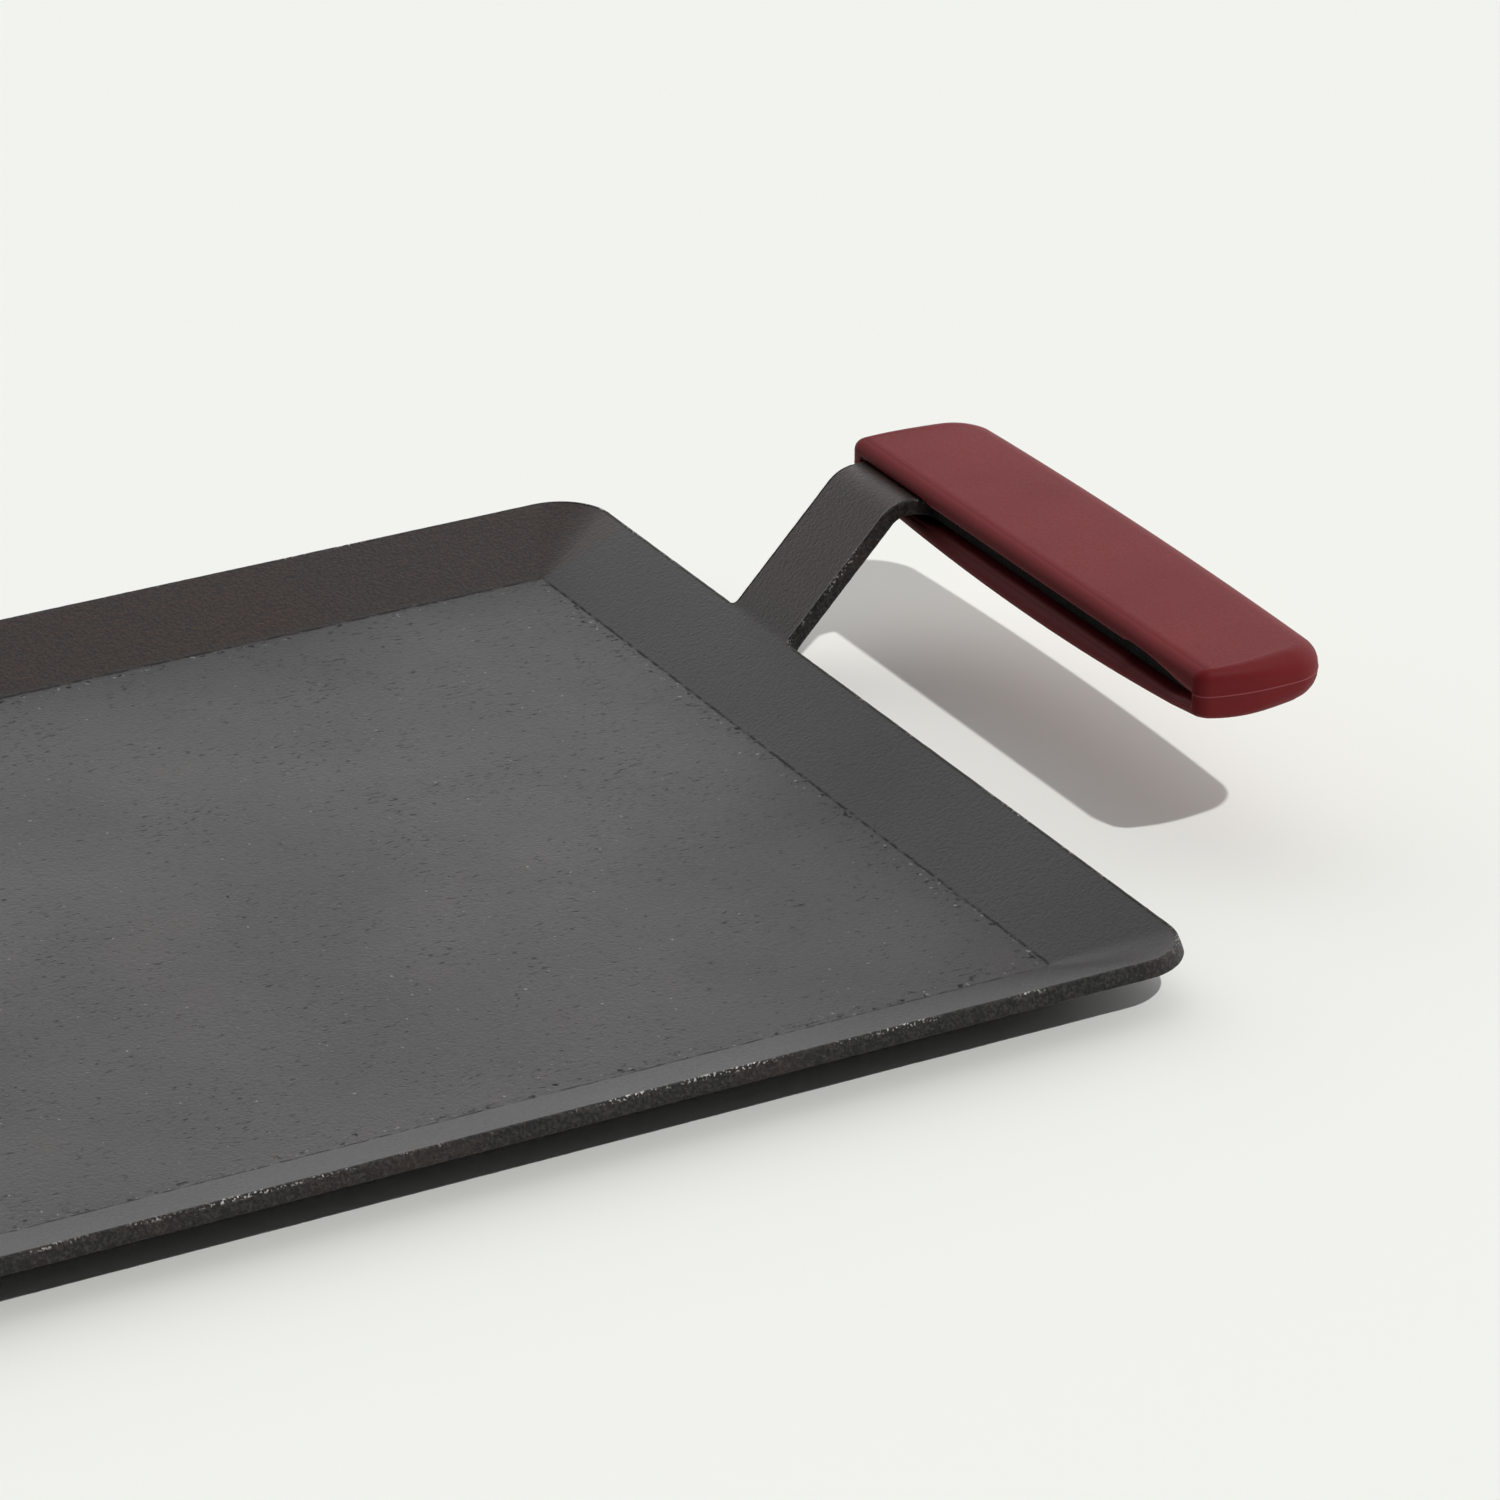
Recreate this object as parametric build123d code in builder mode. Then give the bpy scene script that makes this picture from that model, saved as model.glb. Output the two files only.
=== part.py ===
from build123d import *
from math import atan2, cos, degrees, radians, sin, tan
import os

# A griddle for two burners. One pressed steel sheet has a flat floor and four shallow sloping walls.
# At each short end the same sheet runs on as a strap, which climbs away from the rim and turns into a
# flat bar along the end, like a letter L seen from above. A moulded silicone grip is pushed on over
# each bar from outside. The left end is the right end turned half round about Z.
# Millimetres, +Z up, +X to the right, origin on the table under the middle of the plate.

# Dish, measured between the inner top edges of the rim
rim_length = 457
rim_width = 254
sheet = 3.5
wall_run = 21
dish_depth = 8
rim_corner = 12
floor_corner = 1.5

# Strap, where X is counted outward from the rim
strap_angle = 46
strap_width = 23
strap_far_side = 58.6
root_reach = 12
root_bend = 3
top_bend = 5

# Bar
bar_top = 37.65
bar_inner_side = 33
bar_width = 25
bar_length = 130.6
bar_corner = 6
bar_inner_corner = 4

# Grip: its slot, the walls round the slot and its rounding
gap_above = 0.2
gap_below = 2.25
gap_at_ends = 1
gap_at_back = 0.3
lip = 1.7
wall_above = 3.65
wall_below = 4.4
wall_at_ends = 4.7
wall_at_back = 5
side_swell = 1.7
belly_rise = 3.6
outer_corner = 9
mouth_corner = 4
top_round = 3.5
bottom_round = 3

# Dish sections. The cut edge of the sheet stands square to the wall.
wall_angle = degrees(atan2(dish_depth, wall_run))
rim_height = sheet + dish_depth
edge_out = sheet * sin(radians(wall_angle))
edge_low = rim_height - sheet * cos(radians(wall_angle))
heel_out = sheet * tan(radians(wall_angle / 2))
floor_length = rim_length - 2 * wall_run
floor_width = rim_width - 2 * wall_run

# Strap and bar lines, half a sheet below their top faces
rim_x = rim_length / 2
half = sheet / 2
mean_angle = radians((wall_angle + strap_angle) / 2)
root_depth = half / cos(radians(strap_angle - wall_angle) / 2)
root = (rim_x + root_depth * sin(mean_angle), rim_height - root_depth * cos(mean_angle))
wall_start = (
    rim_x + half * sin(radians(wall_angle)) - root_reach * cos(radians(wall_angle)),
    rim_height - half * cos(radians(wall_angle)) - root_reach * sin(radians(wall_angle)),
)
bar_middle = bar_top - half
knee = (root[0] + (bar_middle - root[1]) / tan(radians(strap_angle)), bar_middle)
bar_end_x = rim_x + bar_inner_side + bar_width
bar_near_side = strap_far_side - bar_length

# Grip sizes, from the bar that it fits
slot_low = bar_top - sheet - gap_below
slot_high = bar_top + gap_above
slot_near = bar_near_side - gap_at_ends
slot_far = strap_far_side + gap_at_ends
slot_back = bar_end_x + gap_at_back
mouth_x = rim_x + bar_inner_side - lip
grip_back = slot_back + wall_at_back
grip_near = slot_near - wall_at_ends
grip_far = slot_far + wall_at_ends
grip_middle = (grip_near + grip_far) / 2
grip_low = slot_low - wall_below
grip_high = slot_high + wall_above

# Strap and bar of the right end, begun inside the wall so that they grow out of it
with BuildPart() as arm:
    with BuildSketch(Plane.XZ.offset(-strap_far_side)):
        with BuildLine():
            FilletPolyline(
                wall_start, root, knee, (bar_end_x, bar_middle), radius=[root_bend + half, top_bend + half]
            )
        trace(line_width=sheet)
    extrude(amount=strap_width)
    with BuildSketch(Plane.XY.offset(bar_top - sheet)):
        with Locations((bar_end_x, strap_far_side)):
            Rectangle(bar_width, bar_length, align=(Align.MAX, Align.MAX))
    extrude(amount=sheet)
    fillet(arm.edges().filter_by(Axis.Z).group_by(Axis.X)[-2].sort_by(Axis.Y)[-1], bar_inner_corner)
    fillet(arm.edges().filter_by(Axis.Z).group_by(Axis.X)[-1], bar_corner)

# Plate: floor, walls and both arms, all of one sheet
with BuildPart() as griddle_plate:
    with BuildSketch(Plane.XY):
        RectangleRounded(floor_length + 2 * heel_out, floor_width + 2 * heel_out, floor_corner + heel_out)
    with BuildSketch(Plane.XY.offset(edge_low)):
        RectangleRounded(rim_length + 2 * edge_out, rim_width + 2 * edge_out, rim_corner + edge_out)
    loft(ruled=True)
    with BuildSketch(Plane.XY.offset(edge_low)):
        RectangleRounded(rim_length + 2 * edge_out, rim_width + 2 * edge_out, rim_corner + edge_out)
    with BuildSketch(Plane.XY.offset(rim_height)):
        RectangleRounded(rim_length, rim_width, rim_corner)
    loft(ruled=True)
    with BuildSketch(Plane.XY.offset(sheet)):
        RectangleRounded(floor_length, floor_width, floor_corner)
    with BuildSketch(Plane.XY.offset(rim_height)):
        RectangleRounded(rim_length, rim_width, rim_corner)
    loft(ruled=True, mode=Mode.SUBTRACT)
    add(arm.part)
    add(arm.part.rotate(Axis.Z, 180))

# Right grip: its outline from above cut by its outline from the side, with a slot open to the mouth
with BuildPart() as right_grip:
    with BuildSketch(Plane.XY.offset(grip_low)) as from_above:
        with BuildLine():
            Polyline(
                (grip_back - side_swell, grip_near),
                (mouth_x, grip_near),
                (mouth_x, grip_far),
                (grip_back - side_swell, grip_far),
            )
            ThreePointArc(
                (grip_back - side_swell, grip_far),
                (grip_back, grip_middle),
                (grip_back - side_swell, grip_near),
            )
        make_face()
        fillet(from_above.vertices().group_by(Axis.X)[0], mouth_corner)
        fillet(from_above.vertices().group_by(Axis.X)[-1], outer_corner)
    extrude(amount=grip_high - grip_low)
    with BuildSketch(Plane.YZ.offset(mouth_x)):
        with BuildLine():
            Polyline(
                (grip_near, grip_low + belly_rise),
                (grip_near, grip_high),
                (grip_far, grip_high),
                (grip_far, grip_low + belly_rise),
            )
            Spline(
                (grip_far, grip_low + belly_rise),
                (grip_middle, grip_low),
                (grip_near, grip_low + belly_rise),
            )
        make_face()
    extrude(amount=grip_back - mouth_x, mode=Mode.INTERSECT)
    fillet(right_grip.faces().sort_by(Axis.Z)[-1].edges(), top_round)
    fillet(right_grip.faces().sort_by(Axis.Z)[0].edges(), bottom_round)
    with BuildSketch(Plane.YZ.offset(mouth_x)):
        with Locations(((slot_near + slot_far) / 2, (slot_low + slot_high) / 2)):
            Rectangle(slot_far - slot_near, slot_high - slot_low)
    extrude(amount=slot_back - mouth_x, mode=Mode.SUBTRACT)

# Left grip: the same moulding on the other end
with BuildPart() as left_grip:
    add(right_grip.part.rotate(Axis.Z, 180))

os.makedirs("parts", exist_ok=True)
griddle_plate.part.label = "griddle_plate"
export_step(griddle_plate.part, "parts/griddle_plate.step")
right_grip.part.label = "right_grip"
export_step(right_grip.part, "parts/right_grip.step")
left_grip.part.label = "left_grip"
export_step(left_grip.part, "parts/left_grip.step")
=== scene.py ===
"""The looks of a griddle for two burners: a dark pressed steel plate whose ends run on into strap handles,
and a dark red silicone grip on each handle. The meshes are worked out in millimetres and scaled to metres
when they are made. Sizes of the bar and the grip along X are counted from the right rim. The left end is the
right end turned half round about Z."""

import math

import bmesh
import bpy
from mathutils import Matrix, Vector, noise


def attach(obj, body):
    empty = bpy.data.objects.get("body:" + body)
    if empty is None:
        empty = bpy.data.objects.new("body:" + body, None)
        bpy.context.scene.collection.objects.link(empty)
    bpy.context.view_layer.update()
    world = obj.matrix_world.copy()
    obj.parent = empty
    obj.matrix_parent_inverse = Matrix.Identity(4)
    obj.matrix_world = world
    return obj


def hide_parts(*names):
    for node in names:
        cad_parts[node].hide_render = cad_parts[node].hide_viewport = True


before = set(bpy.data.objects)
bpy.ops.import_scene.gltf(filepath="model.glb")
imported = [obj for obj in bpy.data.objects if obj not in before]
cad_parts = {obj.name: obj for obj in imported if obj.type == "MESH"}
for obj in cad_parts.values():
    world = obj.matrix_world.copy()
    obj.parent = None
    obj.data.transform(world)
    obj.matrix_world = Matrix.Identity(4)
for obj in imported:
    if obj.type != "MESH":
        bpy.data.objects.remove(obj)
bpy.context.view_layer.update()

MM = 0.001
QUARTER = math.pi / 2
TINY = 1e-9

# Plate
RIM_LENGTH = 457.0
RIM_WIDTH = 254.0
SHEET = 3.5
WALL_RUN = 21.0
DISH_DEPTH = 8.0
RIM_CORNER = 12.0
FLOOR_CORNER = 1.5
FLOOR_BORDER = 1.2
FLOOR_BORDER_CORNER = 0.6
CREASE_HALF = 0.35
CREASE_LIFT = 0.03
HEEL_CORNER = 2.2
HEEL_HALF = 0.6
HEEL_LIFT = 0.06
BASE_BORDER = 1.6
WALL_PARTS = (0.06, 0.35, 0.7)
UNDERSIDE_PARTS = (0.3, 0.65, 0.94, 1)
CORNER_STEPS = 18

# Cut edge of the sheet
ARRIS = 0.45
EDGE_ZONE = 1.3
FADE_PLACE = 0.4
FADE_ROUGHNESS = 0.15
GLINT_DEPTH = 1.3 * ARRIS
ARRIS_STEPS = 3
FACE_STEPS = 5
EDGE_SPACING = 1.0
BACK_SPACING = 1.15
ROOT_SPACING = 3.0
ROUGHNESS_DEPTH = 0.09
# Layers of the torn grain: scale along the sheet, scale up through it, shift and share of the depth
GRAIN_LAYERS = ((0.9, 0.7, 0, 0.7), (0.16, 0.4, 7, 0.6))

# Strap and bar
STRAP_ANGLE = math.radians(46)
STRAP_NEAR = 35.6
STRAP_FAR = 58.6
ROOT_BEND = 3.0
ROOT_FILLET = 2.0
TOP_BEND = 5.0
BAR_TOP = 37.65
BAR_INNER = 33.0
BAR_OUTER = 58.0
BAR_NEAR = -72.0
BAR_CORNER = 6.0
BAR_INNER_CORNER = 4.0
BAR_RUN = 100.0
ROOT_STEPS = 6
STRAP_STEPS = 40
TURN_STEPS = 28
BAR_STEPS = 60
TIP_STEPS = 8

# Grip
MOUTH = 31.3
GRIP_BACK = 63.3
GRIP_NEAR = -77.7
GRIP_FAR = 64.3
GRIP_LOW = 27.6
GRIP_HIGH = 41.5
SIDE_SWELL = 1.7
BELLY_RISE = 3.5
TOP_CROWN = 0.35
BELLY_CROWN = 1.0
MOUTH_CORNER = 2.5
OUTER_CORNER = 9.5
MOUTH_TOP_ROUND = 2.4
OUTER_TOP_ROUND = 4.8
MOUTH_LOW_ROUND = 1.6
OUTER_LOW_ROUND = 5.0
LEAST_ROUND = 0.5
LIP_SHARE = 0.85
OUTER_FROM_BACK = 5.0
# How far each end's corners are drawn in, at the mouth and at the back, and where along the grip that starts
NEAR_END_DRAW = (3.0, 0.6)
FAR_END_DRAW = (0.2, 1.3)
DRAW_START = 0.75
MOUTH_CORNER_STEPS = 3
OUTER_CORNER_STEPS = 6
ACROSS_STEPS = 14
ROUND_STEPS = 6
END_SPACING = 0.9
SLOT_SPACING = 1.4

# Parting line of the grip. Its profile gives heights from its middle, each with a share of the proudness
SEAM_HEIGHT = 35.9
SEAM_PROUD = 0.12
SEAM_FADE = (0.8, 1.0)
SEAM_PROFILE = ((-0.22, 0.0), (-0.1, 0.5), (0.0, 1.0), (0.1, 0.5), (0.22, 0.0))
BELOW_SEAM = 0.3
ABOVE_SEAM = 0.45
ROUND_BELOW_SEAM = 0.5

# Slot of the grip
SLOT_NEAR = -75.1
SLOT_FAR = 59.6
SLOT_LOW = 31.9
SLOT_HIGH = 37.85
SLOT_BACK = 58.3
SLOT_LIP = 0.7
LIP_STEPS = 4
SLOT_PARTS = (0.05, 0.3, 0.6, 1.0)
NOTCH_NEAR = -46.2
NOTCH_FAR = 32.0
NOTCH_RUN = 1.0
CEILING_NOTCH = 0.45
FLOOR_NOTCH = 0.35
CEILING_TAPER = 2.0
CEILING_TAPER_START = -50
FLOOR_TAPER = 1.4
FLOOR_TAPER_START = -62
TAPER_END = -75
# Columns that face the mouth more squarely than this carry the slot's own rows
MOUTH_FACING = 0.9
SLOT_ROW_LOW = ROUND_STEPS + 1
SLOT_ROW_HIGH = SLOT_ROW_LOW + len(SEAM_PROFILE) + 1

# Steel
STEEL_DARK = (0.013, 0.013, 0.0135, 1)
STEEL_PALE = (0.034, 0.034, 0.0345, 1)
STEEL_COOL = (0.017, 0.0165, 0.019, 1)
RUST = (0.05, 0.03, 0.022, 1)
# Painted shade: the walls are the same steel as the floor, painted darker to stand for the shade they get.
SHADED_WALL_DARK = (0.003, 0.0025, 0.003, 1)
SHADED_WALL_PALE = (0.02, 0.017, 0.019, 1)
BROWN_DARK = (0.006, 0.002, 0.001, 1)
BROWN_PALE = (0.034, 0.014, 0.006, 1)
# Near black for the pits and the crease line, and as painted shade on the bar inside the grip.
MARK_AND_SHADE_BLACK = (0.003, 0.003, 0.003, 1)
SPECK = (0.25, 0.24, 0.23, 1)
TORN_DARK = (0.002, 0.002, 0.002, 1)
TORN_PALE = (0.04, 0.036, 0.033, 1)
TORN_RUST = (0.06, 0.025, 0.015, 1)
BARE_METAL = (0.6, 0.57, 0.54, 1)
STEEL_SPECULAR = 0.35
# Less shine on the bar inside the grip, as part of its painted shade.
GRIP_SHADE_SPECULAR = 0.04
MOTTLE_RELIEF = 0.14
PIT_RELIEF = 0.1
TORN_RELIEF = 0.6

# Silicone
SILICONE_DARK = (0.152, 0.011, 0.014, 1)
SILICONE_PALE = (0.172, 0.015, 0.018, 1)
SEAM_PALE = (0.42, 0.14, 0.16, 1)
SILICONE_SPECULAR = 0.13
SILICONE_RELIEF = 0.06

# Table and light
PAPER = (0.905, 0.913, 0.871, 1)
WHITE = (1, 1, 1, 1)
TABLE_HALF = 6.0
TABLE_DROP = 0.05
SUN_TRAVEL = Vector((-0.18, 0.65, -1.0))
SUN_STRENGTH = 1.75
SUN_SPREAD = math.radians(1.5)
SKY_LEVEL = 1.05
HORIZON_LEVEL = 0.65
HORIZON_HEIGHTS = (0.7, 0.35)
SKY_LEAN = 0.8
SKY_SIDES = (-0.45, 0.8)

# Camera
CAMERA_PLACE = Vector((-0.4625, -1.1974, 0.6485))
CAMERA_TARGET = Vector((0.2080, 0.0146, 0.0))
CAMERA_LENS = 178.2
CAMERA_SENSOR = 36.0
CAMERA_ROLL = math.radians(-0.10)
CAMERA_REACH = 50.0

RIM_X = RIM_LENGTH / 2
RIM_Y = RIM_WIDTH / 2
FLOOR_X = RIM_X - WALL_RUN
FLOOR_Y = RIM_Y - WALL_RUN
HALF_SHEET = SHEET / 2
WALL_ANGLE = math.atan2(DISH_DEPTH, WALL_RUN)
RIM_HEIGHT = SHEET + DISH_DEPTH
EDGE_MIDDLE = (HALF_SHEET * math.sin(WALL_ANGLE), RIM_HEIGHT - HALF_SHEET * math.cos(WALL_ANGLE))
GRIP_MIDDLE = (GRIP_NEAR + GRIP_FAR) / 2
GRIP_HALF = (GRIP_FAR - GRIP_NEAR) / 2
GRIP_MIDDLE_X = (MOUTH + GRIP_BACK) / 2
GRIP_HALF_X = (GRIP_BACK - MOUTH) / 2


def mixed(a, b, share):
    return a + (b - a) * share


def smooth(low, high, value):
    """0 at low and 1 at high, with a smooth step between them, and flat beyond. Low may be the larger one."""
    t = min(1.0, max(0.0, (value - low) / (high - low)))
    return t * t * (3 - 2 * t)


def steps(start, end, spacing):
    """Evenly spaced values from start up to but not including end."""
    count = max(1, round(abs(end - start) / spacing))
    return [mixed(start, end, k / count) for k in range(count)]


def cut_profile():
    """(retreat, height, roughness) round the cut edge of the sheet, from its top face to its underside."""
    turns = [QUARTER * k / ARRIS_STEPS for k in range(ARRIS_STEPS + 1)]
    arris = [(ARRIS * (1 - math.sin(t)), HALF_SHEET - ARRIS * (1 - math.cos(t)), 1.0) for t in turns]
    fade = (mixed(ARRIS, EDGE_ZONE, FADE_PLACE), HALF_SHEET, FADE_ROUGHNESS)
    top = [(EDGE_ZONE, HALF_SHEET, 0.0), fade] + arris
    face_half = HALF_SHEET - ARRIS
    face = [(0.0, mixed(face_half, -face_half, k / FACE_STEPS), 1.0) for k in range(1, FACE_STEPS)]
    return top + face + [(retreat, -height, rough) for retreat, height, rough in reversed(top)]


PROFILE = cut_profile()


def grain(x, y, z):
    """Depth of the torn grain of a cut face at a point, in millimetres."""
    depth = 0.0
    for along, through, shift, share in GRAIN_LAYERS:
        depth += share * noise.noise(Vector((x * along, y * along, z * through + shift)))
    return ROUGHNESS_DEPTH * depth


def column_places():
    """Places round half of the rim, counted from the right side's near end, and the numbers of the places at
    the strap's near and far sides."""
    straight = RIM_Y - RIM_CORNER
    reach = RIM_X - RIM_CORNER
    near, far = STRAP_NEAR - ROOT_FILLET, STRAP_FAR + ROOT_FILLET
    before = steps(-straight, near, EDGE_SPACING)
    root = steps(near, far, ROOT_SPACING)
    after = steps(far, straight, EDGE_SPACING)
    turns = [QUARTER * k / CORNER_STEPS for k in range(CORNER_STEPS)]
    places = [("right", y / straight) for y in before + root + after]
    places += [("right_corner", t) for t in turns]
    places += [("back", x / reach) for x in steps(reach, -reach, BACK_SPACING)]
    places += [("left_corner", t + QUARTER) for t in turns]
    return places, len(before), len(before) + len(root)


def place(column, out, radius):
    """The point of a column on the rounded rectangle that lies this far outside the rim, with this corner."""
    side, value = column
    x = RIM_X + out - radius
    y = RIM_Y + out - radius
    if side == "right":
        return x + radius, y * value
    if side == "back":
        return x * value, y + radius
    sign = 1 if side == "right_corner" else -1
    return sign * x + radius * math.cos(value), y + radius * math.sin(value)


def edge_ring(retreat, height):
    """(out, z, corner radius) of a place on the cut edge's profile."""
    out = EDGE_MIDDLE[0] - retreat * math.cos(WALL_ANGLE) - height * math.sin(WALL_ANGLE)
    z = EDGE_MIDDLE[1] - retreat * math.sin(WALL_ANGLE) + height * math.cos(WALL_ANGLE)
    return out, z, RIM_CORNER + out


def rings_between(start, end, parts):
    """Smooth rings that lie part of the way from one ring to another."""
    return [tuple(mixed(start[k], end[k], part) for k in range(3)) + (0.0,) for part in parts]


def plate_rings():
    """(out, z, corner radius, roughness) from the floor over the wall and the cut edge to the underside, and
    the number of the cut edge's first ring."""
    slope = math.tan(WALL_ANGLE)
    heel = -WALL_RUN + SHEET * math.tan(WALL_ANGLE / 2)
    rings = [
        (-WALL_RUN - FLOOR_BORDER, SHEET, FLOOR_BORDER_CORNER, 0.0),
        (-WALL_RUN - CREASE_HALF, SHEET, FLOOR_CORNER, 0.0),
        (-WALL_RUN, SHEET + CREASE_LIFT, FLOOR_CORNER, 0.0),
        (-WALL_RUN + CREASE_HALF, SHEET + CREASE_HALF * slope, FLOOR_CORNER, 0.0),
    ]
    rings += rings_between(rings[-1], edge_ring(EDGE_ZONE, HALF_SHEET), WALL_PARTS)
    first = len(rings)
    rings += [edge_ring(retreat, height) + (rough,) for retreat, height, rough in PROFILE]
    heel_start = (heel + HEEL_HALF, HEEL_HALF * slope, HEEL_CORNER)
    rings += rings_between(edge_ring(EDGE_ZONE, -HALF_SHEET), heel_start, UNDERSIDE_PARTS)
    rings += [
        (heel, HEEL_LIFT, HEEL_CORNER, 0.0),
        (heel - HEEL_HALF, 0.0, HEEL_CORNER, 0.0),
        (heel - BASE_BORDER, 0.0, FLOOR_CORNER, 0.0),
    ]
    return rings, first


def handle_path():
    """Pieces of the handle's middle line in X and Z, as (start x, start z, start angle, length, radius). A
    straight piece has the radius 0, and a bend downward has a negative one."""
    turn = STRAP_ANGLE - WALL_ANGLE
    root_radius = ROOT_BEND + HALF_SHEET
    top_radius = TOP_BEND + HALF_SHEET
    root_tangent = root_radius * math.tan(turn / 2)
    top_tangent = top_radius * math.tan(STRAP_ANGLE / 2)
    lead = EDGE_ZONE + HALF_SHEET * math.tan(turn / 2)
    x = RIM_X + EDGE_MIDDLE[0] - EDGE_ZONE * math.cos(WALL_ANGLE)
    z = EDGE_MIDDLE[1] - EDGE_ZONE * math.sin(WALL_ANGLE)
    root_z = z + lead * math.sin(WALL_ANGLE)
    rise = (BAR_TOP - HALF_SHEET - root_z) / math.sin(STRAP_ANGLE)
    runs = [
        (lead - root_tangent, 0.0),
        (root_radius * turn, root_radius),
        (rise - root_tangent - top_tangent, 0.0),
        (top_radius * STRAP_ANGLE, -top_radius),
        (BAR_RUN, 0.0),
    ]
    pieces = []
    angle = WALL_ANGLE
    for length, radius in runs:
        pieces.append((x, z, angle, length, radius))
        x, z, angle = along_piece(pieces[-1], length)
    return pieces


def along_piece(piece, distance):
    """(x, z, angle) at a distance along a piece of the handle's middle line."""
    x, z, angle, _, radius = piece
    if not radius:
        return x + distance * math.cos(angle), z + distance * math.sin(angle), angle
    after = angle + distance / radius
    across = radius * (math.sin(after) - math.sin(angle))
    down = radius * (math.cos(after) - math.cos(angle))
    return x + across, z - down, after


PATH = handle_path()


def bent(along, y, height):
    """The point of the flat pattern of the handle after the sheet is bent."""
    for piece in PATH:
        if along <= piece[3] or piece is PATH[-1]:
            x, z, angle = along_piece(piece, along)
            return Vector((x - height * math.sin(angle), y, z + height * math.cos(angle)))
        along -= piece[3]


def pattern_at(x):
    """Distance along the flat pattern to a place on the bar, x beyond the rim."""
    before = sum(piece[3] for piece in PATH[:-1])
    return before + RIM_X + x - PATH[-1][0]


def outline_run(pieces, count):
    """Points and outward directions at even distances along lines and arcs. A line is (start, end, outward),
    an arc (centre, radius, start angle, end angle, 1 outward or -1 inward)."""
    lengths = []
    for piece in pieces:
        if len(piece) == 3:
            lengths.append(math.dist(piece[0], piece[1]))
        else:
            lengths.append(abs(piece[3] - piece[2]) * piece[1])
    found = []
    for k in range(count + 1):
        left = sum(lengths) * k / count
        for piece, length in zip(pieces, lengths):
            if left <= length + TINY:
                break
            left -= length
        share = min(1.0, left / length)
        if len(piece) == 3:
            start, end, outward = piece
            found.append(((mixed(start[0], end[0], share), mixed(start[1], end[1], share)), outward))
        else:
            (cx, cy), radius, first, last, sign = piece
            t = mixed(first, last, share)
            direction = (math.cos(t), math.sin(t))
            outward = (sign * direction[0], sign * direction[1])
            found.append(((cx + radius * direction[0], cy + radius * direction[1]), outward))
    return found


def handle_sections():
    """Pairs of places on the flat pattern's near and far outlines, from the root to the bar's near end."""
    reach = EDGE_ZONE + ROOT_FILLET
    inner, outer = pattern_at(BAR_INNER), pattern_at(BAR_OUTER)
    turn_start = inner - BAR_INNER_CORNER
    turn_end = STRAP_NEAR - BAR_INNER_CORNER
    tip = BAR_NEAR + BAR_CORNER
    stretches = [
        (
            [((reach, STRAP_NEAR - ROOT_FILLET), ROOT_FILLET, 2 * QUARTER, QUARTER, -1)],
            [((reach, STRAP_FAR + ROOT_FILLET), ROOT_FILLET, 2 * QUARTER, 3 * QUARTER, -1)],
            ROOT_STEPS,
        ),
        (
            [((reach, STRAP_NEAR), (turn_start, STRAP_NEAR), (0, -1))],
            [((reach, STRAP_FAR), (turn_start, STRAP_FAR), (0, 1))],
            STRAP_STEPS,
        ),
        (
            [((turn_start, turn_end), BAR_INNER_CORNER, QUARTER, 0, -1)],
            [
                ((turn_start, STRAP_FAR), (outer - BAR_CORNER, STRAP_FAR), (0, 1)),
                ((outer - BAR_CORNER, STRAP_FAR - BAR_CORNER), BAR_CORNER, QUARTER, 0, 1),
                ((outer, STRAP_FAR - BAR_CORNER), (outer, turn_end), (1, 0)),
            ],
            TURN_STEPS,
        ),
        (
            [((inner, turn_end), (inner, tip), (-1, 0))],
            [((outer, turn_end), (outer, tip), (1, 0))],
            BAR_STEPS,
        ),
        (
            [((inner + BAR_CORNER, tip), BAR_CORNER, 2 * QUARTER, 3 * QUARTER, 1)],
            [((outer - BAR_CORNER, tip), BAR_CORNER, 0, -QUARTER, 1)],
            TIP_STEPS,
        ),
    ]
    sections = []
    for near, far, count in stretches:
        sections += list(zip(outline_run(near, count), outline_run(far, count)))[1:]
    return sections


class SheetMesh:
    """The plate's mesh, with how much of a cut face and of its bright arris each vertex has."""

    def __init__(self):
        self.bm = bmesh.new()
        self.cut = self.bm.verts.layers.float.new("cut")
        self.arris = self.bm.verts.layers.float.new("arris")

    def vertex(self, point, profile=None):
        v = self.bm.verts.new(point)
        if profile is not None:
            retreat, height, rough = PROFILE[profile]
            v[self.cut] = 1.0 if rough == 1.0 else 0.0
            v[self.arris] = 1.0 if retreat <= ARRIS and height > HALF_SHEET - GLINT_DEPTH else 0.0
        return v

    def band(self, first, second, skip=()):
        """A closed band of faces between two rings, open at the places to skip."""
        count = len(first)
        for k in range(count):
            if k not in skip:
                n = (k + 1) % count
                self.bm.faces.new((first[k], second[k], second[n], first[n]))


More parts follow.
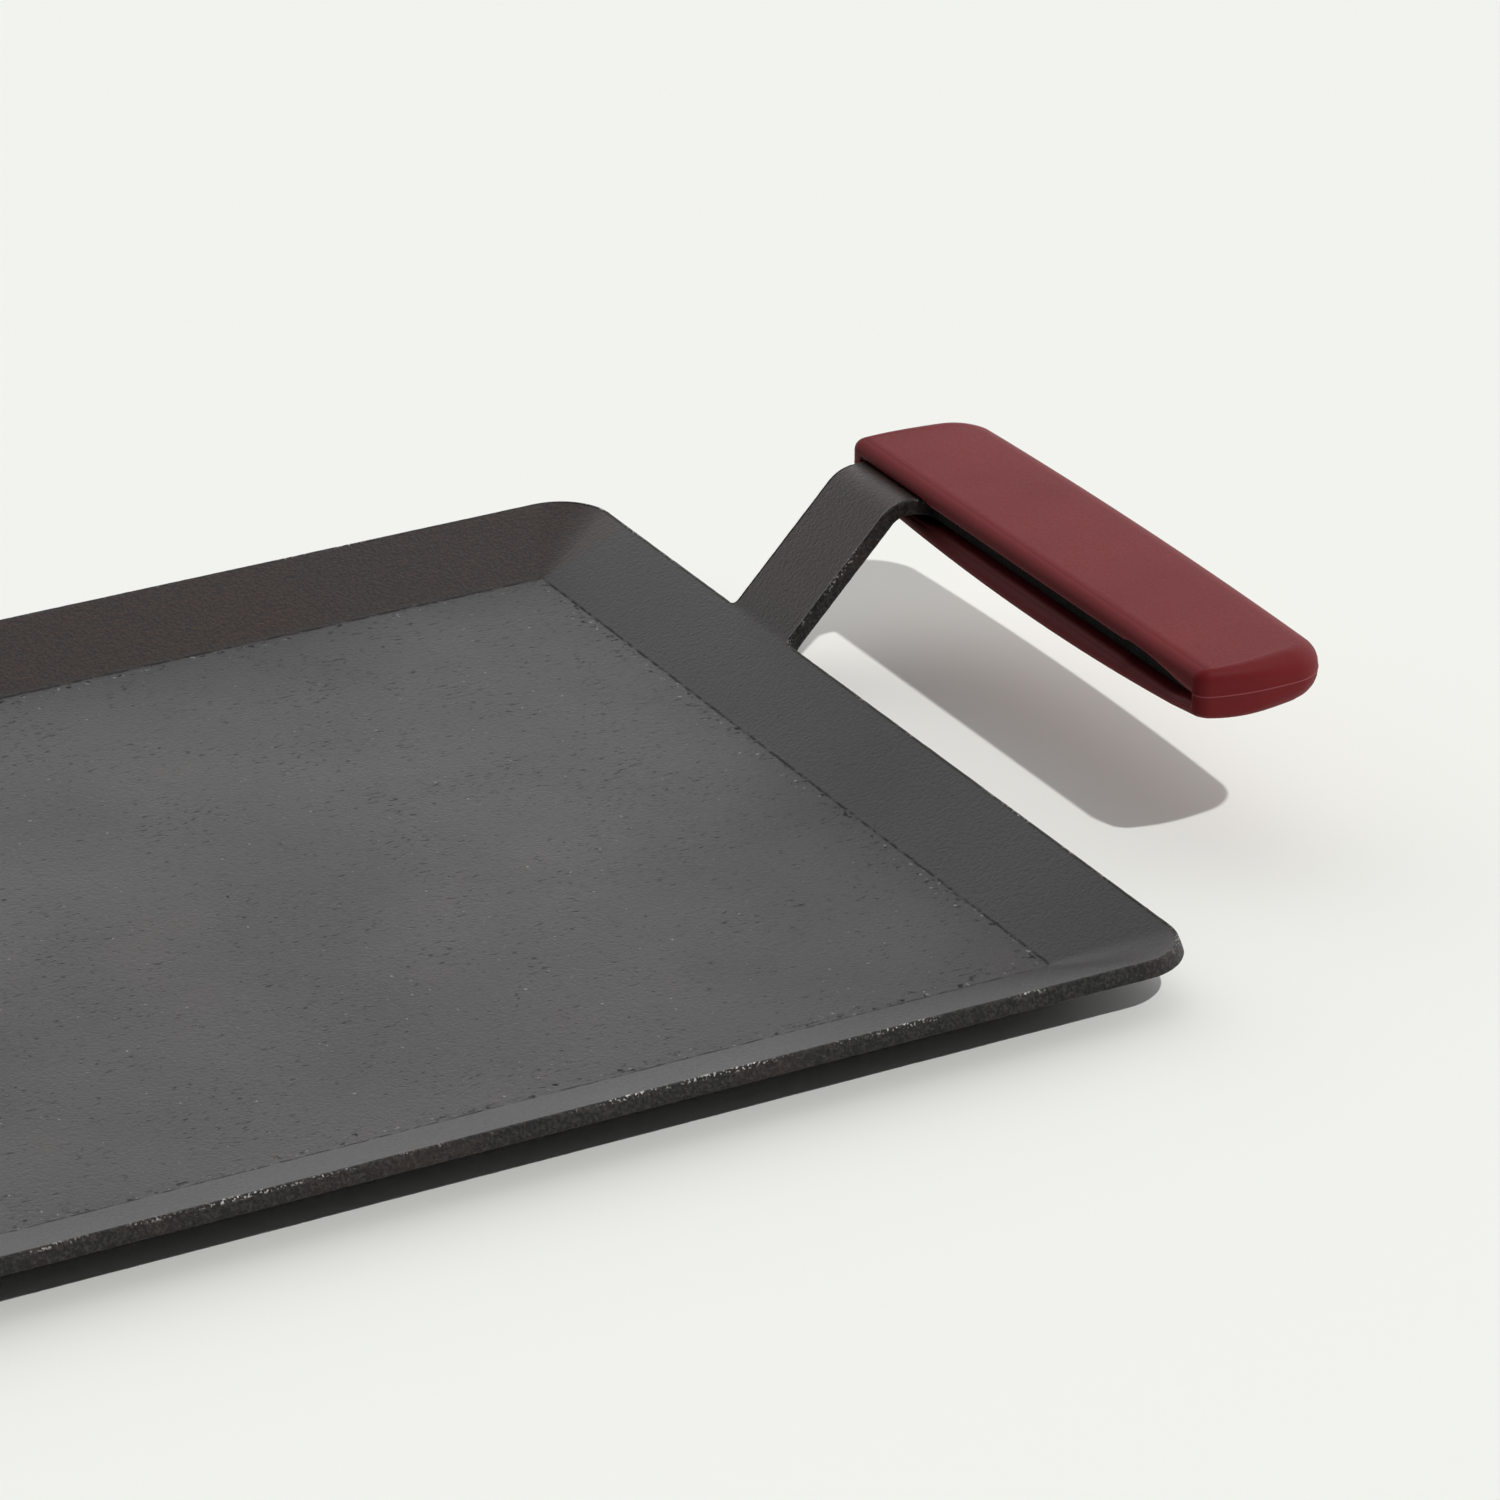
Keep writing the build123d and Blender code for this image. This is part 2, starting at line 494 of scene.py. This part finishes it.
def build_plate(sheet):
    """Rings round the whole plate. The cut edge stays open where a handle grows out of it."""
    places, near, far = column_places()
    half_count = len(places)
    rings, first_profile = plate_rings()
    last_profile = first_profile + len(PROFILE) - 1
    made = []
    for index, (out, z, radius, rough) in enumerate(rings):
        profile = index - first_profile if first_profile <= index <= last_profile else None
        points = []
        for column in places:
            x, y = place(column, out, radius)
            if rough:
                shift = rough * grain(x, y, z)
                x, y = place(column, out + shift, radius + shift)
            points.append((x, y))
        row = [sheet.vertex((x, y, z), profile) for x, y in points]
        row += [sheet.vertex((-x, -y, z), profile) for x, y in points]
        made.append(row)
    skip = {k + turn for k in range(near, far) for turn in (0, half_count)}
    for index in range(len(made) - 1):
        inside = first_profile <= index < last_profile
        sheet.band(made[index], made[index + 1], skip if inside else ())
    sheet.bm.faces.new(made[0])
    sheet.bm.faces.new(list(reversed(made[-1])))
    profile_rows = made[first_profile : last_profile + 1]
    for turn in (0, half_count):
        build_handle(sheet, [row[near + turn : far + turn + 1] for row in profile_rows], turn > 0)


def build_handle(sheet, opening, turned):
    """Sweeps the opening in the cut edge along the flat pattern, and closes it at the bar's near end."""
    last = len(PROFILE) - 1
    inner_rows = range(1, last)
    width, inner = len(opening[0]), len(inner_rows)
    ring = list(opening[0]) + [opening[p][-1] for p in inner_rows]
    ring += list(reversed(opening[last])) + [opening[p][0] for p in reversed(inner_rows)]
    for near, far in handle_sections():
        near_side = [side_point(*near, p, turned) for p in range(len(PROFILE))]
        far_side = [side_point(*far, p, turned) for p in range(len(PROFILE))]
        top, bottom = [
            [near_side[p].lerp(far_side[p], k / (width - 1)) for k in range(width)] for p in (0, last)
        ]
        made = [sheet.vertex(v, 0) for v in top]
        made += [sheet.vertex(far_side[p], p) for p in inner_rows]
        made += [sheet.vertex(v, 0) for v in reversed(bottom)]
        made += [sheet.vertex(near_side[p], p) for p in reversed(inner_rows)]
        sheet.band(ring, made)
        ring = made
    top = ring[:width]
    far_side = ring[width : width + inner]
    bottom = ring[width + inner : 2 * width + inner]
    near_side = list(reversed(ring[2 * width + inner :]))
    faces = [top + [far_side[0], near_side[0]], [near_side[-1], far_side[-1]] + bottom]
    faces += [[near_side[k], far_side[k], far_side[k + 1], near_side[k + 1]] for k in range(inner - 1)]
    for face in faces:
        sheet.bm.faces.new(face)


def side_point(spot, outward, profile, turned):
    """A point of the cut face's profile at a place on the flat pattern's outline."""
    retreat, height, rough = PROFILE[profile]
    at = (spot[0] - retreat * outward[0], spot[1] - retreat * outward[1])
    if rough:
        raw = bent(at[0], at[1], height)
        shift = rough * grain(raw.x, raw.y, raw.z)
        at = (at[0] + shift * outward[0], at[1] + shift * outward[1])
    point = bent(at[0], at[1], height)
    return Vector((-point.x, -point.y, point.z)) if turned else point


def off_middle(x):
    """Place across the grip, from -1 at the mouth to 1 at the back."""
    return (x - GRIP_MIDDLE_X) / GRIP_HALF_X


def belly(y):
    """Height of the grip's underside along its length."""
    return GRIP_LOW + BELLY_RISE * ((y - GRIP_MIDDLE) / GRIP_HALF) ** 2


def notched(y):
    """How far a place lies beyond the small step near the slot's near end, and beyond the one near its far
    end, each from 0 to 1."""
    near = smooth(NOTCH_NEAR, NOTCH_NEAR - NOTCH_RUN, y)
    return near, smooth(NOTCH_FAR, NOTCH_FAR + NOTCH_RUN, y)


def slot_ceiling(y):
    """The slot's upper lip: a small step up near each end, and a taper down to the near end."""
    taper = CEILING_TAPER * smooth(CEILING_TAPER_START, TAPER_END, y)
    return SLOT_HIGH + CEILING_NOTCH * sum(notched(y)) - taper


def slot_floor(y):
    """The slot's lower lip, with a small step down and a rise at the near end."""
    taper = FLOOR_TAPER * smooth(FLOOR_TAPER_START, TAPER_END, y)
    return SLOT_LOW - FLOOR_NOTCH * notched(y)[0] + taper


def arc_places(cx, cy, radius, first, last, count):
    """(x, y, outward x, outward y) along an arc, angles in degrees, both ends included."""
    found = []
    for k in range(count + 1):
        t = math.radians(mixed(first, last, k / count))
        found.append((cx + radius * math.cos(t), cy + radius * math.sin(t), math.cos(t), math.sin(t)))
    return found


def grip_sides():
    """Four lists of places round the grip seen from above: mouth, far end, back and near end. Each starts
    where the last ends, at the middle of a corner. Also the slot's first and last place on the mouth side."""
    near_y, far_y = GRIP_NEAR + MOUTH_CORNER, GRIP_FAR - MOUTH_CORNER
    near_back, far_back = GRIP_NEAR + OUTER_CORNER, GRIP_FAR - OUTER_CORNER

    def back_x(y):
        return GRIP_BACK - SIDE_SWELL * ((y - GRIP_MIDDLE) / GRIP_HALF) ** 2

    corner_x = back_x(far_back) - OUTER_CORNER

    def mouth_arc(y, first, last):
        return arc_places(MOUTH + MOUTH_CORNER, y, MOUTH_CORNER, first, last, MOUTH_CORNER_STEPS)

    def outer_arc(y, first, last):
        return arc_places(corner_x, y, OUTER_CORNER, first, last, OUTER_CORNER_STEPS)

    mouth = mouth_arc(near_y, 225, 180)[:-1]
    ys = steps(near_y, SLOT_NEAR, END_SPACING)
    slot_first = len(mouth) + len(ys)
    slot_ys = steps(SLOT_NEAR, SLOT_FAR, SLOT_SPACING)
    slot_last = slot_first + len(slot_ys)
    ys += slot_ys + steps(SLOT_FAR, far_y, END_SPACING)
    mouth += [(MOUTH, y, -1.0, 0.0) for y in ys] + mouth_arc(far_y, 180, 135)
    across = [mixed(MOUTH + MOUTH_CORNER, corner_x, k / ACROSS_STEPS) for k in range(1, ACROSS_STEPS)]
    far_end = mouth_arc(far_y, 135, 90) + [(x, GRIP_FAR, 0.0, 1.0) for x in across]
    far_end += outer_arc(far_back, 90, 45)
    back = outer_arc(far_back, 45, 0)
    straight = len(mouth) - 1 - 2 * OUTER_CORNER_STEPS
    for k in range(1, straight):
        y = mixed(far_back, near_back, k / straight)
        slope = 2 * SIDE_SWELL * (y - GRIP_MIDDLE) / GRIP_HALF**2
        size = math.hypot(1, slope)
        back.append((back_x(y), y, 1 / size, slope / size))
    back += outer_arc(near_back, 0, -45)
    near_end = outer_arc(near_back, -45, -90) + [(x, GRIP_NEAR, 0.0, -1.0) for x in reversed(across)]
    near_end += mouth_arc(near_y, -90, -135)
    return (mouth, far_end, back, near_end), slot_first, slot_last


def grip_column(x, y, nx, in_slot):
    """(inset, z) up one place of the grip's side, from its underside to its top. The rounds meet the crowned
    top and belly at their own slopes, so that no crease shows."""
    mouthward = max(0.0, -nx)
    outer = smooth(MOUTH + MOUTH_CORNER, GRIP_BACK - OUTER_FROM_BACK, x)
    off = off_middle(x)
    low = belly(y) - BELLY_CROWN * (1 - off**2)
    floor, ceiling = slot_floor(y), slot_ceiling(y)
    if mouthward > MOUTH_FACING:
        room = (floor - low) * LIP_SHARE
    else:
        room = SEAM_HEIGHT - ROUND_BELOW_SEAM - low
    top_round = mixed(MOUTH_TOP_ROUND, OUTER_TOP_ROUND, outer)
    low_round = min(mixed(MOUTH_LOW_ROUND, OUTER_LOW_ROUND, outer), max(LEAST_ROUND, room))
    steepness = 2 * abs(off * nx) / GRIP_HALF_X
    low_turn = QUARTER - math.atan(BELLY_CROWN * steepness)
    top_turn = QUARTER - math.atan(TOP_CROWN * steepness)
    heel = low + low_round * math.sin(low_turn)
    rounds = [low_turn * (1 - k / ROUND_STEPS) for k in range(ROUND_STEPS + 1)]
    rows = [(low_round * (1 - math.cos(t)), heel - low_round * math.sin(t)) for t in rounds]
    shoulder = GRIP_HIGH - TOP_CROWN * off**2 - top_round * math.sin(top_turn)
    if mouthward > MOUTH_FACING:
        below, above = floor, ceiling
    else:
        below = mixed(rows[-1][1], SEAM_HEIGHT - BELOW_SEAM, 0.5)
        above = SEAM_HEIGHT + ABOVE_SEAM
    rows.append((0.0, below))
    proud = 0.0 if in_slot else SEAM_PROUD * (1 - smooth(*SEAM_FADE, mouthward))
    rows += [(-proud * share, SEAM_HEIGHT + offset) for offset, share in SEAM_PROFILE]
    rows.append((0.0, above))
    rows.append((0.0, mixed(above, shoulder, 0.5)))
    rounds = [top_turn * k / ROUND_STEPS for k in range(ROUND_STEPS + 1)]
    rows += [(top_round * (1 - math.cos(t)), shoulder + top_round * math.sin(t)) for t in rounds]
    return rows


def shares(side, facing, axis):
    """How far along an axis each pair of facing places lies, from 0 to 1."""
    middles = [(a[axis] + b[axis]) / 2 for a, b in zip(side, facing)]
    return [(middle - middles[0]) / (middles[-1] - middles[0]) for middle in middles]


def blended_grid(sides):
    """A grid of points inside four sides of a loop, blended from the sides."""
    mouth, far_end, back, near_end = sides
    back, near_end = list(reversed(back)), list(reversed(near_end))
    across = shares(far_end, near_end, 0)
    grid = []
    for i, u in enumerate(shares(mouth, back, 1)):
        row = []
        for j, v in enumerate(across):
            edge = mouth[i].lerp(back[i], v) + near_end[j].lerp(far_end[j], u)
            corner = mouth[0].lerp(back[0], v).lerp(mouth[-1].lerp(back[-1], v), u)
            row.append(edge - corner)
        grid.append(row)
    return grid


def close_grid(bm, edges, grid):
    """Makes a grid of faces whose border vertices are the loop's own."""
    along, across = len(grid) - 1, len(grid[0]) - 1
    mouth, far_end, back, near_end = edges
    verts = [[None] * (across + 1) for _ in range(along + 1)]
    for i in range(along + 1):
        verts[i][0] = mouth[i]
        verts[i][across] = back[along - i]
    for j in range(across + 1):
        verts[along][j] = far_end[j]
        verts[0][j] = near_end[across - j]
    for i in range(1, along):
        for j in range(1, across):
            verts[i][j] = bm.verts.new(grid[i][j])
    for i in range(along):
        for j in range(across):
            bm.faces.new((verts[i][j], verts[i + 1][j], verts[i + 1][j + 1], verts[i][j + 1]))


def cut_slot(bm, rows, first, last):
    """Carries the mouth's opening inward, over a rounded lip, to the flat back of the slot."""
    bottom = [(rows[SLOT_ROW_LOW][c], 0, 1) for c in range(first, last)]
    far_side = [(rows[k][last], -1, 0) for k in range(SLOT_ROW_LOW, SLOT_ROW_HIGH)]
    top = [(rows[SLOT_ROW_HIGH][c], 0, -1) for c in range(last, first, -1)]
    near_side = [(rows[k][first], 1, 0) for k in range(SLOT_ROW_HIGH, SLOT_ROW_LOW, -1)]
    ring = bottom + far_side + top + near_side
    width, height, count = len(bottom), len(far_side), len(ring)
    corners = {0: (1, 1), width: (-1, 1), width + height: (-1, -1), 2 * width + height: (1, -1)}
    flows = [(v.co.copy(), corners.get(k, (dy, dz))) for k, (v, dy, dz) in enumerate(ring)]
    verts = [v for v, _, _ in ring]
    turns = [QUARTER * k / LIP_STEPS for k in range(1, LIP_STEPS + 1)]
    depths = [(SLOT_LIP * math.sin(t), SLOT_LIP * (1 - math.cos(t))) for t in turns]
    depths += [(mixed(SLOT_LIP, SLOT_BACK - MOUTH, part), SLOT_LIP) for part in SLOT_PARTS]
    for depth, inset in depths:
        made = [bm.verts.new(start + Vector((depth, dy * inset, dz * inset))) for start, (dy, dz) in flows]
        for k in range(count):
            n = (k + 1) % count
            bm.faces.new((verts[k], verts[n], made[n], made[k]))
        verts = made
    for k in range(1, width - 1):
        opposite = 2 * width + height - k
        bm.faces.new((verts[k], verts[k + 1], verts[opposite - 1], verts[opposite]))
    for hub, start in ((width - 1, width), (1, 2 * width + height - 1)):
        for k in range(start, start + height + 1):
            bm.faces.new((verts[hub], verts[k % count], verts[(k + 1) % count]))


def round_ends(bm):
    """Bows both ends of the grip: each corner is drawn in by its own amount, at the mouth and at the back."""
    for v in bm.verts:
        along, across = (v.co.y - GRIP_MIDDLE) / GRIP_HALF, off_middle(v.co.x)
        at_mouth, at_back = NEAR_END_DRAW if along < 0 else FAR_END_DRAW
        drawn = (at_mouth if across < 0 else at_back) * across**2 * smooth(DRAW_START, 1.0, abs(along))
        v.co.y -= math.copysign(1, along) * drawn


def build_grip(turned):
    """The grip's outer skin as a box of six curved grids, with the slot let into its mouth side."""
    bm = bmesh.new()
    sides, first, last = grip_sides()
    loop = [spot for side in sides for spot in side[:-1]]
    count = len(loop)
    columns = []
    for index, (x, y, nx, ny) in enumerate(loop):
        rows = grip_column(x, y, nx, first <= index <= last)
        columns.append([Vector((x - inset * nx, y - inset * ny, z)) for inset, z in rows])
    rows = [[bm.verts.new(column[k]) for column in columns] for k in range(len(columns[0]))]
    for k in range(len(rows) - 1):
        for c in range(count):
            if SLOT_ROW_LOW <= k < SLOT_ROW_HIGH and first <= c < last:
                continue
            n = (c + 1) % count
            bm.faces.new((rows[k][c], rows[k][n], rows[k + 1][n], rows[k + 1][c]))
    sizes = [len(side) - 1 for side in sides]
    starts = [sum(sizes[:k]) for k in range(len(sizes) + 1)]
    for row in (rows[0], rows[-1]):
        edges = [[row[c % count] for c in range(a, b + 1)] for a, b in zip(starts, starts[1:])]
        close_grid(bm, edges, blended_grid([[v.co.copy() for v in edge] for edge in edges]))
    cut_slot(bm, rows, first, last)
    round_ends(bm)
    for v in bm.verts:
        v.co.x += RIM_X
        if turned:
            v.co.x, v.co.y = -v.co.x, -v.co.y
    return bm


def finish_mesh(bm, name, material, body, node):
    """Turns a millimetre mesh into a smooth object in metres that rides on a body and stands for a node."""
    bmesh.ops.recalc_face_normals(bm, faces=bm.faces)
    bmesh.ops.scale(bm, vec=(MM, MM, MM), verts=bm.verts)
    mesh = bpy.data.meshes.new(name)
    bm.to_mesh(mesh)
    bm.free()
    mesh.shade_smooth()
    mesh.materials.append(material)
    piece = bpy.data.objects.new(name, mesh)
    bpy.context.scene.collection.objects.link(piece)
    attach(piece, body)
    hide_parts(node)
    return piece


class Nodes:
    """A node tree, with short calls for the nodes that the materials and the world share."""

    def __init__(self, tree, coordinates):
        self.nodes = tree.nodes
        self.links = tree.links
        self.where = self.nodes.new("ShaderNodeTexCoord").outputs[coordinates]

    def put(self, socket, value):
        if isinstance(value, bpy.types.NodeSocket):
            self.links.new(value, socket)
        else:
            socket.default_value = value

    def axes(self):
        node = self.nodes.new("ShaderNodeSeparateXYZ")
        self.put(node.inputs[0], self.where)
        return node.outputs

    def math(self, operation, a, b=0.0):
        node = self.nodes.new("ShaderNodeMath")
        node.operation = operation
        self.put(node.inputs[0], a)
        self.put(node.inputs[1], b)
        return node.outputs[0]

    def plus(self, a, b):
        return self.math("ADD", a, b)

    def minus(self, a, b):
        return self.math("SUBTRACT", a, b)

    def times(self, a, b):
        return self.math("MULTIPLY", a, b)

    def most(self, a, b):
        return self.math("MAXIMUM", a, b)

    def size(self, a):
        return self.math("ABSOLUTE", a)

    def span(self, value, low, high, to_low=0.0, to_high=1.0, kind="LINEAR"):
        """The value's place between low and high, as a value between to_low and to_high."""
        node = self.nodes.new("ShaderNodeMapRange")
        node.interpolation_type = kind
        names = ("Value", "From Min", "From Max", "To Min", "To Max")
        for name, given in zip(names, (value, low, high, to_low, to_high)):
            self.put(node.inputs[name], given)
        return node.outputs[0]

    def span_mm(self, value, low, high, to_low=0.0, to_high=1.0):
        """The same for a distance, with low and high in millimetres."""
        return self.span(value, low * MM, high * MM, to_low, to_high)


class Shader(Nodes):
    """A material's node tree, in the object's own coordinates."""

    def __init__(self, name):
        self.material = bpy.data.materials.new(name)
        self.material.use_nodes = True
        super().__init__(self.material.node_tree, "Object")
        self.bsdf = self.nodes["Principled BSDF"]

    def surface(self, name, value):
        self.put(self.bsdf.inputs[name], value)

    def stretched(self, x, y, z):
        node = self.nodes.new("ShaderNodeMapping")
        self.put(node.inputs["Vector"], self.where)
        node.inputs["Scale"].default_value = (x, y, z)
        return node.outputs[0]

    def noise(self, scale=1.0, detail=2.0, rough=0.5, vector=None):
        node = self.nodes.new("ShaderNodeTexNoise")
        self.put(node.inputs["Vector"], vector or self.where)
        node.inputs["Scale"].default_value = scale
        node.inputs["Detail"].default_value = detail
        node.inputs["Roughness"].default_value = rough
        return node.outputs["Fac"]

    def mix(self, share, a, b):
        node = self.nodes.new("ShaderNodeMix")
        node.data_type = "RGBA"
        for index, value in ((0, share), (6, a), (7, b)):
            self.put(node.inputs[index], value)
        return node.outputs[2]

    def bump(self, height, relief, strength, under=None):
        """A bump with the relief in millimetres, on top of another one if that is given."""
        node = self.nodes.new("ShaderNodeBump")
        self.put(node.inputs["Height"], height)
        node.inputs["Distance"].default_value = relief * MM
        node.inputs["Strength"].default_value = strength
        if under:
            self.put(node.inputs["Normal"], under)
        return node.outputs[0]

    def attribute(self, name):
        node = self.nodes.new("ShaderNodeAttribute")
        node.attribute_name = name
        return node.outputs["Fac"]


def steel_material():
    """Dark rolled carbon steel: a fine mottle with pits and a few pale specks, a dark broken line in the
    crease, torn bright grains on the cut edge, and a brown bloom that is strongest on the handles and the
    back wall. The walls are painted darker than the floor as painted shade, and the bar is painted near black
    and less shiny where the grip covers it, as painted shade."""
    s = Shader("dark_carbon_steel")

    # Zones of the sheet. Beyond is the distance past the border of the floor.
    x, y, _ = s.axes()
    beyond = s.most(s.minus(s.size(x), FLOOR_X * MM), s.minus(s.size(y), FLOOR_Y * MM))
    on_wall = s.span_mm(beyond, -0.2, 0.3)
    near_crease = s.span_mm(s.size(s.plus(beyond, 1.3 * MM)), 4.0, 0.3)
    on_handle = s.span_mm(s.size(x), RIM_X - 2, RIM_X + 6)
    on_back = s.span_mm(y, FLOOR_Y - 1, FLOOR_Y + 2)
    in_front = s.span_mm(y, 1 - RIM_Y, -RIM_Y, 0, 0.05)
    # Painted shade: where the grip covers the bar, the bar is painted near black and less shiny.
    grip_shade = s.span_mm(s.size(x), RIM_X + MOUTH, RIM_X + BAR_INNER)
    cut, arris = s.attribute("cut"), s.attribute("arris")

    # Patterns
    mottle = s.noise(1250, 4, 0.65)
    patches = s.noise(16, 4)
    bloom = s.span(s.noise(24, 5, 0.7), 0.5, 0.72)
    tears = s.noise(1300, 3, 0.7)
    wobble = s.times(s.noise(260, 3), 0.6 * MM)
    off_crease = s.size(s.minus(beyond, s.minus(wobble, 0.3 * MM)))
    broken = s.span(s.noise(420, 3, 0.6), 0.4, 0.56, 0.15, 0.9)
    crease = s.times(s.span_mm(off_crease, 0.45, 0.1), broken)
    coarse_pits = s.span(s.plus(s.noise(520, 3, 0.6), s.times(near_crease, 0.11)), 0.69, 0.78)
    crowding = s.span(s.noise(70, 3), 0.35, 0.65, -0.03, 0.03)
    fine_pits = s.plus(s.noise(detail=2, rough=0.6, vector=s.stretched(480, 1100, 1100)), crowding)
    pits = s.most(coarse_pits, s.span(fine_pits, 0.615, 0.72, 0, 0.62))
    pits = s.times(pits, s.span(on_wall, 0, 1, 1, 0.25))
    scattered = s.plus(s.noise(detail=1, vector=s.stretched(800, 801, 802)), s.times(near_crease, 0.07))
    specks = s.times(s.span(scattered, 0.76, 0.8), s.span(on_wall, 0, 1, 1, 0.1))
    clusters = s.span(s.plus(s.noise(75, 3), in_front), 0.5, 0.66)
    sparkle = s.times(s.times(s.span(s.noise(1700, 1), 0.56, 0.64), clusters), arris)

    # Colour
    base = s.mix(s.span(mottle, 0.35, 0.65), STEEL_DARK, STEEL_PALE)
    base = s.mix(s.span(patches, 0.3, 0.7, 0, 0.5), base, STEEL_COOL)
    base = s.mix(s.times(bloom, 0.3), base, RUST)
    # Painted shade: the walls take a darker copy of the steel's colour.
    wall = s.mix(s.span(mottle, 0.38, 0.62), SHADED_WALL_DARK, SHADED_WALL_PALE)
    base = s.mix(s.times(on_wall, 0.8), base, wall)
    brown = s.mix(s.span(mottle, 0.38, 0.62), BROWN_DARK, BROWN_PALE)
    base = s.mix(s.times(s.most(on_handle, on_back), s.span(patches, 0.3, 0.6, 0.6, 1.0)), base, brown)
    base = s.mix(s.times(pits, 0.85), base, MARK_AND_SHADE_BLACK)
    base = s.mix(s.times(crease, 0.8), base, MARK_AND_SHADE_BLACK)
    base = s.mix(s.times(specks, 0.6), base, SPECK)
    torn = s.mix(s.span(tears, 0.45, 0.68), TORN_DARK, TORN_PALE)
    base = s.mix(cut, base, s.mix(s.times(bloom, 0.5), torn, TORN_RUST))
    base = s.mix(sparkle, base, BARE_METAL)
    # Painted shade on the bar inside the grip.
    base = s.mix(s.times(grip_shade, 0.8), base, MARK_AND_SHADE_BLACK)
    s.surface("Base Color", base)

    # Gloss and relief
    rough = s.plus(s.span(mottle, 0.3, 0.7, 0.34, 0.5), s.span(patches, 0.35, 0.65, -0.03, 0.03))
    rough = s.minus(rough, s.times(on_wall, 0.03))
    rough = s.plus(rough, s.times(s.most(pits, crease), 0.4))
    s.surface("Roughness", s.plus(rough, s.times(cut, 0.12)))
    s.surface("Metallic", sparkle)
    # Painted shade: less shine inside the grip.
    s.surface("Specular IOR Level", s.span(grip_shade, 0, 1, STEEL_SPECULAR, GRIP_SHADE_SPECULAR))
    marks = s.bump(mottle, MOTTLE_RELIEF, 1.0)
    marks = s.bump(s.minus(1.0, s.most(pits, crease)), PIT_RELIEF, 0.7, marks)
    s.surface("Normal", s.bump(s.times(tears, cut), TORN_RELIEF, 0.8, marks))
    return s.material


def silicone_material():
    """Matte dark red silicone with a faint mottle, and a paler line where the halves of the mould met."""
    s = Shader("dark_red_silicone")
    _, _, z = s.axes()
    fine = s.noise(1900, 2)
    base = s.mix(s.span(s.noise(45, 4), 0.3, 0.7), SILICONE_DARK, SILICONE_PALE)
    seam = s.span_mm(s.size(s.minus(z, SEAM_HEIGHT * MM)), 0.16, 0.04)
    s.surface("Base Color", s.mix(s.times(seam, 0.5), base, SEAM_PALE))
    s.surface("Roughness", s.span(fine, 0.3, 0.7, 0.52, 0.62))
    s.surface("Specular IOR Level", SILICONE_SPECULAR)
    s.surface("Normal", s.bump(fine, SILICONE_RELIEF, 0.5))
    return s.material


def floor_material():
    """Pale table top with no gloss, so that it keeps the shadow and nothing else."""
    s = Shader("pale_table")
    s.surface("Base Color", PAPER)
    s.surface("Roughness", 1.0)
    s.surface("Specular IOR Level", 0.0)
    return s.material


def build_floor():
    """A wide table top, a hair below the plate so that the two faces don't fight."""
    mesh = bpy.data.meshes.new("table")
    signs = ((-1, -1), (1, -1), (1, 1), (-1, 1))
    corners = [(a * TABLE_HALF, b * TABLE_HALF, -TABLE_DROP * MM) for a, b in signs]
    mesh.from_pydata(corners, [], [(0, 1, 2, 3)])
    mesh.materials.append(floor_material())
    table = bpy.data.objects.new("table", mesh)
    bpy.context.scene.collection.objects.link(table)


def build_light():
    """One hard lamp from the front right, and a wide soft light from above and behind, brighter low down, as
    a lit white sweep gives. The camera itself sees plain paper."""
    lamp = bpy.data.lights.new("sun", "SUN")
    lamp.energy = SUN_STRENGTH
    lamp.angle = SUN_SPREAD
    sun = bpy.data.objects.new("sun", lamp)
    sun.rotation_euler = SUN_TRAVEL.to_track_quat("-Z", "Y").to_euler()
    bpy.context.scene.collection.objects.link(sun)
    world = bpy.data.worlds.new("studio")
    bpy.context.scene.world = world
    world.use_nodes = True
    w = Nodes(world.node_tree, "Generated")
    x, y, z = w.axes()
    low = w.span(z, *HORIZON_HEIGHTS, SKY_LEVEL, SKY_LEVEL + HORIZON_LEVEL, "SMOOTHSTEP")
    behind = w.span(w.plus(w.times(x, SKY_LEAN), y), *SKY_SIDES, kind="SMOOTHSTEP")
    sky = w.nodes["Background"]
    w.put(sky.inputs["Color"], WHITE)
    w.put(sky.inputs["Strength"], w.times(low, behind))
    paper = w.nodes.new("ShaderNodeBackground")
    w.put(paper.inputs["Color"], PAPER)
    choose = w.nodes.new("ShaderNodeMixShader")
    w.put(choose.inputs[0], w.nodes.new("ShaderNodeLightPath").outputs["Is Camera Ray"])
    w.put(choose.inputs[1], sky.outputs[0])
    w.put(choose.inputs[2], paper.outputs[0])
    w.put(w.nodes["World Output"].inputs["Surface"], choose.outputs[0])


def build_camera():
    data = bpy.data.cameras.new("camera")
    data.lens = CAMERA_LENS
    data.sensor_width = CAMERA_SENSOR
    data.clip_end = CAMERA_REACH
    camera = bpy.data.objects.new("camera", data)
    look = (CAMERA_TARGET - CAMERA_PLACE).to_track_quat("-Z", "Y").to_matrix()
    turn = (look @ Matrix.Rotation(CAMERA_ROLL, 3, "Z")).to_4x4()
    camera.matrix_world = Matrix.Translation(CAMERA_PLACE) @ turn
    bpy.context.scene.collection.objects.link(camera)
    bpy.context.scene.camera = camera


def build_object():
    steel = steel_material()
    silicone = silicone_material()
    sheet = SheetMesh()
    build_plate(sheet)
    finish_mesh(sheet.bm, "pressed_plate", steel, "griddle", "griddle_plate")
    for side, turned in (("right", False), ("left", True)):
        grip = side + "_grip"
        finish_mesh(build_grip(turned), side + "_silicone_grip", silicone, grip, grip)


bpy.context.scene.view_settings.view_transform = "Standard"
build_camera()
build_light()
build_floor()
build_object()
